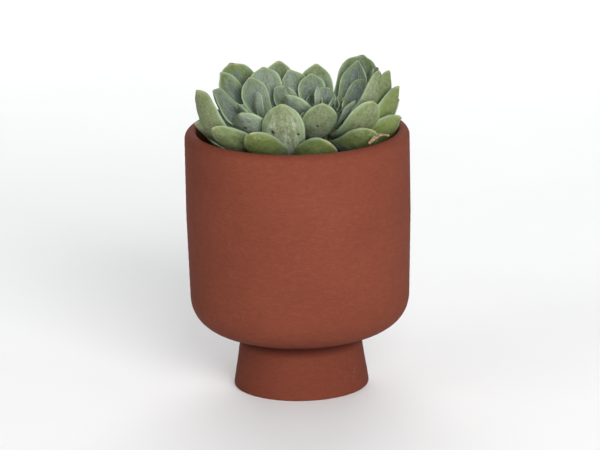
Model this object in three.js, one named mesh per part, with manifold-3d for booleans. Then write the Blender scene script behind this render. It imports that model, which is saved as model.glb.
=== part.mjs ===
// A potted succulent: three leaf rosettes on short stems, rooted in soil in a footed clay pot.
// Millimetres, +Z up. The origin is on the pot's axis, at the level that its foot stands on.

import * as THREE from "three";
import { mergeVertices } from "three/addons/utils/BufferGeometryUtils.js";
import Module from "manifold-3d";

// Pot: one thrown and fired piece, with a hollow foot and a drainage hole.
const POT_RADIUS = 60;
const RIM_HEIGHT = 141.2;
const WALL = 6;
const LIP_OUTER_ROUND = 4.6;
const LIP_INNER_ROUND = 1.4;
const WALL_FOOT_RADIUS = 58.8;
const WALL_FOOT_HEIGHT = 51;
const WAIST_RADIUS = 32.4;
const WAIST_HEIGHT = 28.8;
const FOOT_RADIUS = 36.1;
const FOOT_FLARE = 0.9;
const FOOT_EDGE = 0.8;
const FLOOR_TOP = 37;
const FLOOR_FLAT_RADIUS = 28;
const RECESS_TOP = 28;
const RECESS_TOP_RADIUS = 25.5;
const RECESS_MOUTH_RADIUS = 29.5;
const DRAIN_RADIUS = 6;
const POT_SIDES = 40;

// Soil: fills the bowl, a little higher in the middle.
const SOIL_EDGE_HEIGHT = 124;
const SOIL_MIDDLE_HEIGHT = 127;
const SOIL_SIDES = 32;

// Stems and leaves.
const GAP = 0.3;
const STEM_RADIUS = 4.2;
const STEM_ROOT_DEPTH = 16;
const STEM_STOP = 5;
const STEM_SIDES = 12;
const HEART_LEAVES = 5;
const HEART_TURN = 137.5;
const HEART_HEIGHT = 2;
const HEART_WIDTH = 4.6;
const HEART_GROWTH = 0.7;
const HEART_REACH = 0.8;
const HEART_DROOP = 0.2;
const HEART_BOW = 0.2;
const HEART_CORE_CAP = 1;
const HEART_CORE_RADIUS = 2.4;
const FIRST_LEAF_DROP = 4.5;
const LEAF_SPACING = 1.4;
const LEAF_THICKNESS = 0.16;
const LEAF_BACK_SHARE = 0.82;
const LEAF_CUP = 0.09;
const LEAF_BOW = 0.13;
const LEAF_BASE_WIDTH = 0.58;
const LEAF_WIDEST_AT = 0.64;
const LEAF_TIP_FULLNESS = 2.2;
const LEAF_STATIONS = [0, 0.2, 0.4, 0.6, 0.78, 0.91, 0.98];
const LEAF_SIDES = 8;
const LEAF_POINT = 1.2;
const PLANT_TOP = 200;

// Rosettes: where the stem leaves the soil, where its growing point stands, the heading of its
// youngest leaf, and its grown leaves.
// A leaf is [heading in degrees, tip's reach from the growing point, tip's height over it, width,
// twist in degrees about its length, bow, fullness of its tip], listed from the growing point
// outwards. The last three may be left out.
const ROSETTES = [
  {
    name: "left",
    foot: [-4, -8],
    crown: [-18, -5, 152],
    heartTurn: 20,
    leaves: [
      [215, 3, 11, 8, 40],
      [120, 12, 15, 18],
      [215, 15, 6, 13],
      [87, 20, 18, 18, 0, 0.13, 3.0],
      [240, 22.5, 4, 20, 20, 0.2],
      [204, 27, 14, 20, -32, 0.16],
      [151, 24, 18, 20, -10],
      [74, 33, 18.5, 20],
      [120, 32, 19, 25, 0, 0.13, 3.0],
      [206, 37, 16, 21.5, 22, 0.3, 2.8],
      [345, 22, 0, 16],
      [196, 36.5, -3, 15, 45],
      [135, 38, -6, 22],
      [229, 39, -1, 17.5, 40],
      [262, 42, -1, 19, 22],
      [290, 31, 10.5, 23, 0, 0.18],
      [105, 42, -4, 22],
      [168, 34, -10, 19],
      [315, 49.5, -9, 19, -42, 0.1, 2.8],
    ],
  },
  {
    name: "middle",
    foot: [8, 0],
    crown: [10, 4, 157],
    heartTurn: 150,
    leaves: [
      [286, 4, 6, 9, 35],
      [32, 9, 3, 13, 30],
      [103, 8, 10, 15],
      [225, 20, 4.6, 18.5, 10],
      [340, 10, 0, 12],
      [170, 21, 4, 15, -35],
      [141, 17, 11.5, 19, -20, 0.13, 1.9],
      [22, 12, -3, 13, 30, 0.13, 2.2],
      [87, 18, 12.5, 19],
      [125, 26, 2, 18],
      [50, 28, -4, 18],
      [277, 28, 3, 19.5, 0, 0.13, 1.9],
      [90, 44, -4, 22],
      [275, 44, -20, 18],
      [65, 42, -8, 20],
      [305, 46, -20, 19],
    ],
  },
  {
    name: "right",
    foot: [19, 0],
    crown: [24, 0, 155],
    heartTurn: 250,
    leaves: [
      [10, 12, 11, 12, 40],
      [42, 12, 19.5, 20, 5, 0.13, 1.5],
      [29, 22, 15.5, 13],
      [350, 20, 17, 16, -37, 0.26, 2.0],
      [62, 25, 19, 24, 0, 0.13, 2.8],
      [8, 25, 15, 20, -45, 0.26, 2.0],
      [307, 11, 2.5, 14],
      [353, 29.5, 8.5, 21, -30, 0.25, 2.0],
      [53, 35, 4, 18],
      [300, 30, 6.5, 20, -10, 0.18],
      [26, 33, -3, 17, 0, 0.2],
      [75, 45, -6, 22],
      [341, 31.5, -6, 19, -42, 0.18],
      [295, 37, -7, 18, -30],
      [4, 31, -10, 15],
      [325, 31, -16, 15],
    ],
  },
];

// Dry leaf: a shrivelled, curled leaf lying on the lip, from its thick end to its tip.
const DRY_LEAF = { base: [38, -36.5, 141], tip: [48.5, -24.5, 142], width: 3.6, twist: -60, bow: -0.14 };

const CLAY = new THREE.MeshStandardMaterial({ color: 0x9c5244, roughness: 0.85, metalness: 0 });
const SOIL = new THREE.MeshStandardMaterial({ color: 0x2e251d, roughness: 1, metalness: 0 });
const STEM = new THREE.MeshStandardMaterial({ color: 0x7d7a55, roughness: 0.9, metalness: 0 });
const DRY = new THREE.MeshStandardMaterial({ color: 0xb99a74, roughness: 0.9, metalness: 0 });
const LEAF = new THREE.MeshStandardMaterial({ color: 0x8fa585, roughness: 0.75, metalness: 0 });

const UP = new THREE.Vector3(0, 0, 1);
const wasm = await Module();
wasm.setup();

// A closed geometry as a manifold solid, and back.
function toSolid(geometry) {
  const bare = geometry.clone();
  bare.deleteAttribute("normal");
  bare.deleteAttribute("uv");
  const merged = mergeVertices(bare, 1e-4);
  const vertProperties = new Float32Array(merged.attributes.position.array);
  const triVerts = new Uint32Array(merged.index.array);
  return new wasm.Manifold(new wasm.Mesh({ numProp: 3, vertProperties, triVerts }));
}

function toGeometry(solid) {
  const mesh = solid.getMesh();
  const geometry = new THREE.BufferGeometry();
  geometry.setAttribute("position", new THREE.BufferAttribute(mesh.vertProperties, 3));
  geometry.setIndex(new THREE.BufferAttribute(mesh.triVerts, 1));
  geometry.computeVertexNormals();
  return geometry;
}

// A profile of [radius, height] points turned about the pot's axis.
function turned(profile, sides) {
  const points = profile.map(([radius, height]) => new THREE.Vector2(radius, height));
  return new THREE.LatheGeometry(points, sides).rotateX(Math.PI / 2);
}

// Points of a quarter round in the profile plane, from one angle to the other, in degrees.
function arc(centreRadius, centreHeight, size, fromAngle, toAngle, steps) {
  return Array.from({ length: steps + 1 }, (_, step) => {
    const angle = THREE.MathUtils.degToRad(fromAngle + ((toAngle - fromAngle) * step) / steps);
    return [centreRadius + size * Math.cos(angle), centreHeight + size * Math.sin(angle)];
  });
}

function bend(start, startHandle, endHandle, end, steps) {
  const vectors = [start, startHandle, endHandle, end].map(([x, y]) => new THREE.Vector2(x, y));
  return new THREE.CubicBezierCurve(...vectors).getPoints(steps).map((p) => [p.x, p.y]);
}

// The bowl's inside, from the flat of the floor up to where the lip starts.
function bowlInside(clearance) {
  const wallRadius = WALL_FOOT_RADIUS - WALL - clearance;
  const floor = FLOOR_TOP + clearance;
  return [
    ...bend(
      [FLOOR_FLAT_RADIUS, floor],
      [FLOOR_FLAT_RADIUS + 14, floor],
      [wallRadius, floor + 4],
      [wallRadius, WALL_FOOT_HEIGHT + 4],
      5,
    ),
    [POT_RADIUS - WALL - clearance, RIM_HEIGHT * 0.65],
  ];
}

function lip(clearance) {
  const innerCentre = POT_RADIUS - WALL + LIP_INNER_ROUND;
  const outerCentre = POT_RADIUS - LIP_OUTER_ROUND;
  const innerRound = LIP_INNER_ROUND + clearance;
  const outerRound = LIP_OUTER_ROUND + clearance;
  return [
    ...arc(innerCentre, RIM_HEIGHT - LIP_INNER_ROUND, innerRound, 180, 90, 2),
    ...arc(outerCentre + 0.01, RIM_HEIGHT - LIP_OUTER_ROUND, outerRound, 90, 0, 4),
  ];
}

function potSolid() {
  const crease = [WAIST_RADIUS, WAIST_HEIGHT];
  const bowlOutside = bend(
    [WALL_FOOT_RADIUS, WALL_FOOT_HEIGHT],
    [WALL_FOOT_RADIUS, WALL_FOOT_HEIGHT - 17.5],
    [WAIST_RADIUS + 9.8, WAIST_HEIGHT + 2],
    crease,
    8,
  );
  const footOutside = bend(
    crease,
    [WAIST_RADIUS + FOOT_FLARE, WAIST_HEIGHT * 0.6],
    [FOOT_RADIUS - FOOT_FLARE, WAIST_HEIGHT * 0.3],
    [FOOT_RADIUS, FOOT_EDGE],
    4,
  );
  const profile = [
    [DRAIN_RADIUS, FLOOR_TOP],
    ...bowlInside(0),
    ...lip(0),
    [POT_RADIUS, RIM_HEIGHT * 0.68],
    ...bowlOutside,
    ...footOutside.slice(1),
    [FOOT_RADIUS - FOOT_EDGE, 0],
    [RECESS_MOUTH_RADIUS, 0],
    [RECESS_TOP_RADIUS, RECESS_TOP - 3],
    [RECESS_TOP_RADIUS - 3, RECESS_TOP],
    [DRAIN_RADIUS, RECESS_TOP],
    [DRAIN_RADIUS, FLOOR_TOP],
  ];
  return toSolid(turned(profile.reverse(), POT_SIDES));
}

function soilSolid() {
  const topRadius = POT_RADIUS - WALL - GAP;
  const profile = [
    [0, FLOOR_TOP + GAP],
    ...bowlInside(GAP),
    [topRadius, SOIL_EDGE_HEIGHT],
    [topRadius * 0.6, SOIL_MIDDLE_HEIGHT],
    [0, SOIL_MIDDLE_HEIGHT],
  ];
  return toSolid(turned(profile, SOIL_SIDES));
}

// The space that leaves may fill: above the soil, inside the wall and over the lip.
function plantRoom() {
  const inside = POT_RADIUS - WALL - GAP;
  const profile = [
    [0, SOIL_MIDDLE_HEIGHT + GAP],
    [inside * 0.6, SOIL_MIDDLE_HEIGHT + GAP],
    [inside, SOIL_EDGE_HEIGHT + GAP],
    ...lip(GAP),
    [POT_RADIUS, RIM_HEIGHT],
    [POT_RADIUS, PLANT_TOP],
    [0, PLANT_TOP],
  ];
  return toSolid(turned(profile, POT_SIDES));
}

function stemLine(rosette) {
  const foot = new THREE.Vector3(...rosette.foot, SOIL_MIDDLE_HEIGHT);
  const crown = new THREE.Vector3(...rosette.crown);
  return { foot, crown, axis: crown.clone().sub(foot).normalize() };
}

function stemSolid(rosette, clearance) {
  const { foot, crown, axis } = stemLine(rosette);
  const rooted = foot.clone().addScaledVector(axis, -STEM_ROOT_DEPTH - clearance);
  const length = rooted.distanceTo(crown) - STEM_STOP + clearance;
  const topRadius = STEM_RADIUS * 0.45 + clearance;
  const shoulder = length - STEM_RADIUS * 2;
  const profile = [
    [0, 0],
    [STEM_RADIUS + clearance, 0],
    [STEM_RADIUS + clearance, shoulder],
    [topRadius, length],
    [0, length],
  ];
  const turn = new THREE.Quaternion().setFromUnitVectors(UP, axis);
  const geometry = turned(profile, STEM_SIDES).applyQuaternion(turn);
  return toSolid(geometry.translate(rooted.x, rooted.y, rooted.z));
}

// Half width of a leaf along its length, as a share of its widest half width.
function leafOutline(along, fullness) {
  if (along < LEAF_WIDEST_AT) {
    const rise = Math.sin((Math.PI / 2) * (along / LEAF_WIDEST_AT));
    return LEAF_BASE_WIDTH + (1 - LEAF_BASE_WIDTH) * rise;
  }
  const past = (along - LEAF_WIDEST_AT) / (1 - LEAF_WIDEST_AT);
  return Math.pow(1 - Math.pow(past, fullness), 1 / fullness);
}

// A leaf from its place on the stem to its tip: thick, cupped towards the rosette's axis,
// bowed outwards along its length and ending in a short point.
function leafGeometry(leaf, clearance) {
  const { base, tip, width, twist, bow, fullness = LEAF_TIP_FULLNESS } = leaf;
  const chord = tip.clone().sub(base);
  const length = chord.length();
  chord.normalize();
  const side = new THREE.Vector3().crossVectors(chord, UP).normalize();
  side.applyAxisAngle(chord, THREE.MathUtils.degToRad(twist));
  const face = new THREE.Vector3().crossVectors(side, chord);
  const spine = (along) => base.clone()
    .addScaledVector(chord, length * along)
    .addScaledVector(face, -4 * bow * length * along * (1 - along));
  const slope = (along) => -4 * bow * (1 - 2 * along);
  const tangent = (along) => chord.clone().addScaledVector(face, slope(along)).normalize();
  const positions = [];
  for (const along of LEAF_STATIONS) {
    const normal = face.clone().addScaledVector(chord, -slope(along)).normalize();
    const outline = leafOutline(along, fullness);
    const bareHalfWidth = (width / 2) * outline;
    const halfWidth = bareHalfWidth + clearance;
    const thickness = width * LEAF_THICKNESS * (1.15 - 0.75 * along * along);
    const stretch = along === 0 ? -clearance : 0;
    const centre = spine(along).addScaledVector(tangent(along), stretch);
    for (let step = 0; step < LEAF_SIDES; step += 1) {
      const angle = (2 * Math.PI * step) / LEAF_SIDES;
      const across = Math.cos(angle);
      const rise = Math.sin(angle);
      const share = rise < 0 ? LEAF_BACK_SHARE : 1 - LEAF_BACK_SHARE;
      const cup = LEAF_CUP * width * outline * Math.pow((across * halfWidth) / bareHalfWidth, 2);
      const lift = cup + rise * (thickness * share + clearance);
      const point = centre.clone()
        .addScaledVector(side, halfWidth * across)
        .addScaledVector(normal, lift);
      positions.push(point.x, point.y, point.z);
    }
  }
  const start = spine(0).addScaledVector(tangent(0), -clearance);
  const end = spine(1).addScaledVector(chord, LEAF_POINT).addScaledVector(tangent(1), clearance);
  positions.push(...start.toArray(), ...end.toArray());
  return closedSkin(positions, LEAF_STATIONS.length, LEAF_SIDES);
}

// Joins rings of points, then a middle point at each end, into a closed skin.
function closedSkin(positions, rings, sides) {
  const startPoint = rings * sides;
  const endPoint = startPoint + 1;
  const index = [];
  for (let step = 0; step < sides; step += 1) {
    const next = (step + 1) % sides;
    index.push(startPoint, step, next);
    for (let ring = 0; ring < rings - 1; ring += 1) {
      const a = ring * sides + step;
      const b = ring * sides + next;
      index.push(a, a + sides, b, b, a + sides, b + sides);
    }
    const last = (rings - 1) * sides;
    index.push(last + step, endPoint, last + next);
  }
  const geometry = new THREE.BufferGeometry();
  geometry.setAttribute("position", new THREE.Float32BufferAttribute(positions, 3));
  geometry.setIndex(index);
  return geometry;
}

// Where a leaf of a rosette starts and ends, and its form. It starts `drop` below the crown.
function leafForm(rosette, leaf, drop) {
  const [heading, reach, height, width, ...shape] = leaf;
  const [twist = 0, bow = LEAF_BOW, fullness = LEAF_TIP_FULLNESS] = shape;
  const { crown, axis } = stemLine(rosette);
  const angle = THREE.MathUtils.degToRad(heading);
  const outwards = new THREE.Vector3(Math.cos(angle), Math.sin(angle), 0);
  const tip = crown.clone().addScaledVector(outwards, reach).addScaledVector(UP, height);
  const base = crown.clone()
    .addScaledVector(axis, -drop)
    .addScaledVector(outwards, STEM_RADIUS * 0.5);
  return { base, tip, width, twist, bow, fullness };
}

// The growing point: its youngest leaves, still joined at their foot.
function heartSolid(rosette, clearance) {
  const { crown, axis } = stemLine(rosette);
  const radius = HEART_CORE_RADIUS + clearance;
  const bottom = -STEM_STOP + GAP - clearance;
  const profile = [[0, bottom], [radius, bottom], [radius, 0], [0, HEART_CORE_CAP + clearance]];
  const core = turned(profile, STEM_SIDES)
    .applyQuaternion(new THREE.Quaternion().setFromUnitVectors(UP, axis))
    .translate(...rosette.crown);
  let heart = toSolid(core);
  for (let order = 0; order < HEART_LEAVES; order += 1) {
    const growth = HEART_GROWTH * order;
    const heading = rosette.heartTurn + HEART_TURN * order;
    const reach = HEART_REACH + growth;
    const height = HEART_HEIGHT - growth * HEART_DROOP;
    const leaf = [heading, reach, height, HEART_WIDTH + growth, 0, HEART_BOW];
    heart = heart.add(toSolid(leafGeometry(leafForm(rosette, leaf, FIRST_LEAF_DROP), clearance)));
  }
  return heart;
}

const plant = new THREE.Group();

function addPart(name, solid, material) {
  const mesh = new THREE.Mesh(toGeometry(solid), material);
  mesh.name = name;
  plant.add(mesh);
}

addPart("pot", potSolid(), CLAY);

let soil = soilSolid();
for (const rosette of ROSETTES) {
  soil = soil.subtract(stemSolid(rosette, GAP));
}
addPart("soil", soil, SOIL);

const room = plantRoom();
const taken = ROSETTES.map((rosette) => stemSolid(rosette, GAP));

// A leaf cut to the room and clear of every piece made before it. Its largest body is kept.
function cutClear(solid) {
  const cut = taken.reduce((rest, other) => rest.subtract(other), solid.intersect(room));
  return cut.decompose().reduce((best, body) => (body.volume() > best.volume() ? body : best));
}

for (const rosette of ROSETTES) {
  addPart(`${rosette.name}_stem`, stemSolid(rosette, 0), STEM);
}
for (const rosette of ROSETTES) {
  addPart(`${rosette.name}_heart`, cutClear(heartSolid(rosette, 0)), LEAF);
  taken.push(heartSolid(rosette, GAP));
}

const mostLeaves = Math.max(...ROSETTES.map((rosette) => rosette.leaves.length));
for (let order = 0; order < mostLeaves; order += 1) {
  for (const rosette of ROSETTES.filter((each) => order < each.leaves.length)) {
    const drop = FIRST_LEAF_DROP + LEAF_SPACING * order;
    const form = leafForm(rosette, rosette.leaves[order], drop);
    const number = String(order + 1).padStart(2, "0");
    addPart(`${rosette.name}_leaf_${number}`, cutClear(toSolid(leafGeometry(form, 0))), LEAF);
    taken.push(toSolid(leafGeometry(form, GAP)));
  }
}

const dryEnds = { base: new THREE.Vector3(...DRY_LEAF.base), tip: new THREE.Vector3(...DRY_LEAF.tip) };
addPart("dry_leaf", cutClear(toSolid(leafGeometry({ ...DRY_LEAF, ...dryEnds }, 0))), DRY);

export default plant;
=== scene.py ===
"""A rosette succulent in a footed clay pot, drawn in the order in which it is put together:
pot, soil, stems, hearts and leaves, the dry leaf on the lip, then the studio around it.
The pieces are sized in millimetres. The materials' grain and the studio are in metres."""

import math

import bmesh
import bpy
import numpy as np
from mathutils import Matrix, Quaternion, Vector, noise
from mathutils.bvhtree import BVHTree


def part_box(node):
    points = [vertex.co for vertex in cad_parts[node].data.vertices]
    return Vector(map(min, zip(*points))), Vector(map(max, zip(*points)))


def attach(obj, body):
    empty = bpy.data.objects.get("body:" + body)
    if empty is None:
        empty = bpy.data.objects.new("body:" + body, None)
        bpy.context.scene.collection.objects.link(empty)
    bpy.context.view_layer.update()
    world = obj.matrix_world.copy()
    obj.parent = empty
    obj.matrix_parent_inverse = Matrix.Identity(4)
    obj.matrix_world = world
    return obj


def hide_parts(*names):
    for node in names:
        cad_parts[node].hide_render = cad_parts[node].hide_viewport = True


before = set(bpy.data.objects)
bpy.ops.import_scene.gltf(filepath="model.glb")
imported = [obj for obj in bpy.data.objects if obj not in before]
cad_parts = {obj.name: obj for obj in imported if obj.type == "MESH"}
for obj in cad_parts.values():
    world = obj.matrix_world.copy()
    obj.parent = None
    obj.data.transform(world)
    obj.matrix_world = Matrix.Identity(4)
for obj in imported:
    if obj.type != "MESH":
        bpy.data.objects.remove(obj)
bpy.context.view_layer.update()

# --- Pot ------------------------------------------------------------------------------------
# A deep round bowl on a flared foot, thrown in one piece on a wheel from red earthenware and
# fired without a glaze. The foot is hollow underneath, and a hole in the floor lets water out.

MM = 0.001
pot_low, pot_high = (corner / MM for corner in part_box("pot"))
POT_RADIUS = (pot_high.x - pot_low.x) / 2
RIM_HEIGHT = pot_high.z
WALL = 6.0
LIP_OUTER_ROUND = 4.6
LIP_INNER_ROUND = 1.4
WALL_FOOT_RADIUS = 58.8
WALL_FOOT_HEIGHT = 51.0
WAIST_RADIUS = 32.4
WAIST_HEIGHT = 28.8
FOOT_RADIUS = 36.1
FOOT_FLARE = 0.9
FOOT_EDGE = 0.8
FLOOR_TOP = 37.0
FLOOR_FLAT_RADIUS = 28.0
RECESS_TOP = 28.0
RECESS_TOP_RADIUS = 25.5
RECESS_MOUTH_RADIUS = 29.5
DRAIN_RADIUS = 6.0
POT_SIDES = 224
POT_STEP = 0.9
THROWING_RING = 0.045
THROWING_PITCH = 5.2
OUT_OF_ROUND = 0.12


def arc(centre_radius, centre_height, size, from_angle, to_angle, steps):
    """Points of a quarter round in the profile plane, between two angles in degrees."""
    angles = np.radians(np.linspace(from_angle, to_angle, steps + 1))
    offsets = [(size * math.cos(a), size * math.sin(a)) for a in angles]
    return [(centre_radius + across, centre_height + up) for across, up in offsets]


def bend(start, start_handle, end_handle, end, steps):
    """Points of a cubic curve in the profile plane."""
    corners = [Vector(p) for p in (start, start_handle, end_handle, end)]
    points = []
    for t in np.linspace(0, 1, steps + 1):
        weights = ((1 - t) ** 3, 3 * t * (1 - t) ** 2, 3 * t * t * (1 - t), t**3)
        points.append(tuple(sum((c * w for c, w in zip(corners, weights)), Vector((0, 0)))))
    return points


def bowl_inside(clearance):
    """The bowl's inside, from the flat of the floor up to the straight of the wall."""
    wall = WALL_FOOT_RADIUS - WALL - clearance
    floor = FLOOR_TOP + clearance
    start = (FLOOR_FLAT_RADIUS, floor)
    end = (wall, WALL_FOOT_HEIGHT + 4)
    return bend(start, (FLOOR_FLAT_RADIUS + 14, floor), (wall, floor + 4), end, 16)


def pot_profile():
    """The pot's section, as a closed loop of (radius, height) points."""
    inner_lip = (POT_RADIUS - WALL + LIP_INNER_ROUND, RIM_HEIGHT - LIP_INNER_ROUND)
    outer_lip = (POT_RADIUS - LIP_OUTER_ROUND, RIM_HEIGHT - LIP_OUTER_ROUND)
    foot_edge = (FOOT_RADIUS - FOOT_EDGE, FOOT_EDGE)
    return [
        (DRAIN_RADIUS, FLOOR_TOP - 0.8),
        (DRAIN_RADIUS + 0.8, FLOOR_TOP),
        *bowl_inside(0),
        (POT_RADIUS - WALL, RIM_HEIGHT * 0.65),
        *arc(*inner_lip, LIP_INNER_ROUND, 180, 90, 6),
        *arc(*outer_lip, LIP_OUTER_ROUND, 90, 0, 14),
        (POT_RADIUS, RIM_HEIGHT * 0.68),
        *bend(
            (WALL_FOOT_RADIUS, WALL_FOOT_HEIGHT),
            (WALL_FOOT_RADIUS, WALL_FOOT_HEIGHT - 17.5),
            (WAIST_RADIUS + 9.8, WAIST_HEIGHT + 2),
            (WAIST_RADIUS + 0.5, WAIST_HEIGHT + 0.1),
            30,
        ),
        *bend(
            (WAIST_RADIUS + 0.05, WAIST_HEIGHT - 0.5),
            (WAIST_RADIUS + FOOT_FLARE, WAIST_HEIGHT * 0.6),
            (FOOT_RADIUS - FOOT_FLARE, WAIST_HEIGHT * 0.3),
            (FOOT_RADIUS, FOOT_EDGE * 2),
            16,
        ),
        *arc(*foot_edge, FOOT_EDGE, 0, -90, 4),
        *arc(RECESS_MOUTH_RADIUS + 0.8, 0.8, 0.8, 270, 180, 3),
        (RECESS_TOP_RADIUS, RECESS_TOP - 3),
        *arc(RECESS_TOP_RADIUS - 3, RECESS_TOP - 3, 3, 20, 90, 4),
        (DRAIN_RADIUS + 0.8, RECESS_TOP),
        (DRAIN_RADIUS, RECESS_TOP + 0.8),
    ]


def stepped(profile, step, closed):
    """The profile with points added, so that none are further apart than the step."""
    ends = profile[1:] + profile[:1] if closed else profile[1:]
    points = []
    for (r0, h0), (r1, h1) in zip(profile, ends):
        count = max(1, math.ceil(math.hypot(r1 - r0, h1 - h0) / step))
        points += [(r0 + (r1 - r0) * k / count, h0 + (h1 - h0) * k / count) for k in range(count)]
    return points if closed else points + [profile[-1]]


def new_piece(name, points, faces, material, slot, *replaced):
    """A smooth-shaded piece from points in millimetres, riding on the object's one body."""
    mesh = bpy.data.meshes.new(name)
    mesh.from_pydata([tuple(c * MM for c in p) for p in points], [], faces)
    mesh.validate()
    mesh.shade_smooth()
    piece = bpy.data.objects.new(name, mesh)
    bpy.context.scene.collection.objects.link(piece)
    piece.data.materials.append(material)
    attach(piece, "root")
    if replaced:
        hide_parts(*replaced)
    return piece


class Surface:
    """Short words for building one material's nodes."""

    def __init__(self, name):
        self.material = bpy.data.materials.new(name)
        self.material.use_nodes = True
        self.tree = self.material.node_tree
        self.shader = self.tree.nodes["Principled BSDF"]
        self.place = self.node("ShaderNodeTexCoord").outputs["Object"]

    def node(self, kind, **settings):
        made = self.tree.nodes.new(kind)
        for key, value in settings.items():
            setattr(made, key, value)
        return made

    def feed(self, socket, value):
        if isinstance(value, bpy.types.NodeSocket):
            self.tree.links.new(value, socket)
        else:
            socket.default_value = value

    def grain(self, scale, detail=4.0, roughness=0.6, stretch=(1, 1, 1), place=None):
        """Cloudy noise from 0 to 1. The scale is in features per metre."""
        mapping = self.node("ShaderNodeMapping")
        mapping.inputs["Scale"].default_value = stretch
        self.feed(mapping.inputs["Vector"], place or self.place)
        made = self.node("ShaderNodeTexNoise")
        self.feed(made.inputs["Vector"], mapping.outputs["Vector"])
        made.inputs["Scale"].default_value = scale
        made.inputs["Detail"].default_value = detail
        made.inputs["Roughness"].default_value = roughness
        return made.outputs["Fac"]

    def ramp(self, value, low, high, to_low=0.0, to_high=1.0):
        """The value taken from one range to another, smoothly and without going past."""
        made = self.node("ShaderNodeMapRange", interpolation_type="SMOOTHSTEP")
        self.feed(made.inputs["Value"], value)
        ends = {"From Min": low, "From Max": high, "To Min": to_low, "To Max": to_high}
        for key, number in ends.items():
            made.inputs[key].default_value = number
        return made.outputs["Result"]

    def sum(self, operation, first, second):
        made = self.node("ShaderNodeMath", operation=operation)
        self.feed(made.inputs[0], first)
        self.feed(made.inputs[1], second)
        return made.outputs["Value"]

    def apart(self, value, level):
        """How far the value is from a level."""
        made = self.node("ShaderNodeMath", operation="ABSOLUTE")
        self.feed(made.inputs[0], self.sum("SUBTRACT", value, level))
        return made.outputs["Value"]

    def blend(self, share, first, second):
        """Two colours mixed by a share."""
        made = self.node("ShaderNodeMix", data_type="RGBA")
        self.feed(made.inputs["Factor"], share)
        self.feed(made.inputs["A"], (*first, 1) if isinstance(first, tuple) else first)
        self.feed(made.inputs["B"], (*second, 1) if isinstance(second, tuple) else second)
        return made.outputs["Result"]

    def value(self, name):
        """A number kept at each point of the mesh."""
        return self.node("ShaderNodeAttribute", attribute_name=name).outputs["Fac"]

    def bump(self, height, distance):
        """Relief of that height in metres, laid over any relief that is already there."""
        made = self.node("ShaderNodeBump")
        made.inputs["Distance"].default_value = distance
        self.feed(made.inputs["Height"], height)
        before = self.shader.inputs["Normal"].links
        if before:
            self.feed(made.inputs["Normal"], before[0].from_socket)
        self.feed(self.shader.inputs["Normal"], made.outputs["Normal"])


CLAY = (0.168, 0.041, 0.0215)
CLAY_DARK = (0.130, 0.030, 0.016)
CLAY_PALE = (0.230, 0.070, 0.041)
# The last colour is painted shade, for the crease above the foot and the low parts of the pot.
CLAY_PAINTED_SHADE = (0.055, 0.008, 0.004)


def fired_clay():
    """Bare earthenware: even red clay with soft clouding, fine grit, wheel lines and scuffs."""
    clay = Surface("fired_clay")
    clouds = clay.ramp(clay.grain(22, 3), 0.3, 0.7)
    lines = clay.ramp(clay.grain(30, 5, 0.65, (0.35, 0.35, 9)), 0.3, 0.72)
    brushed = clay.grain(260, 5, 0.75, (1, 1, 2.5))
    grit = clay.grain(1300, 4, 0.75)
    colour = clay.blend(clay.sum("MULTIPLY", clouds, 0.4), CLAY, CLAY_DARK)
    colour = clay.blend(clay.sum("MULTIPLY", lines, 0.05), colour, CLAY_PALE)
    colour = clay.blend(clay.ramp(brushed, 0.5, 0.68, 0, 0.22), colour, CLAY_PALE)
    colour = clay.blend(clay.ramp(brushed, 0.5, 0.32, 0, 0.4), colour, CLAY_DARK)
    colour = clay.blend(clay.ramp(grit, 0.54, 0.7, 0, 0.5), colour, CLAY_PALE)
    colour = clay.blend(clay.ramp(grit, 0.46, 0.3, 0, 0.55), colour, CLAY_DARK)
    # Scuffs: short thin pale marks, few and far between.
    off_line = clay.apart(clay.grain(75, 2, 0.5, (1, 1, 1.6)), 0.5)
    few = clay.ramp(clay.grain(48, 1, 0.5), 0.66, 0.7)
    scuffs = clay.sum("MULTIPLY", clay.ramp(off_line, 0.0, 0.006, 0.7, 0), few)
    colour = clay.blend(scuffs, colour, CLAY_PALE)
    # Painted shade: the clay is darkened in the crease above the foot, down the foot from there,
    # and a little low on the bowl.
    height = clay.node("ShaderNodeSeparateXYZ")
    clay.feed(height.inputs["Vector"], clay.place)
    from_crease = clay.apart(height.outputs["Z"], WAIST_HEIGHT * MM)
    foot_painted_shade = clay.ramp(height.outputs["Z"], 0.024, 0.034, 0.12, 0)
    low_bowl_painted_shade = clay.ramp(height.outputs["Z"], 0.03, 0.09, 0.1, 0)
    clay_painted_shade = clay.sum("ADD", clay.ramp(from_crease, 0.0, 0.007, 0.95, 0.0), foot_painted_shade)
    clay_painted_shade = clay.sum("ADD", clay_painted_shade, low_bowl_painted_shade)
    colour = clay.blend(clay_painted_shade, colour, CLAY_PAINTED_SHADE)
    clay.feed(clay.shader.inputs["Base Color"], colour)
    clay.feed(clay.shader.inputs["Roughness"], clay.ramp(grit, 0.3, 0.7, 0.8, 0.92))
    clay.shader.inputs["Specular IOR Level"].default_value = 0.15
    clay.bump(lines, 0.00012)
    clay.bump(brushed, 0.00010)
    clay.bump(grit, 0.00014)
    return clay.material


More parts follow.
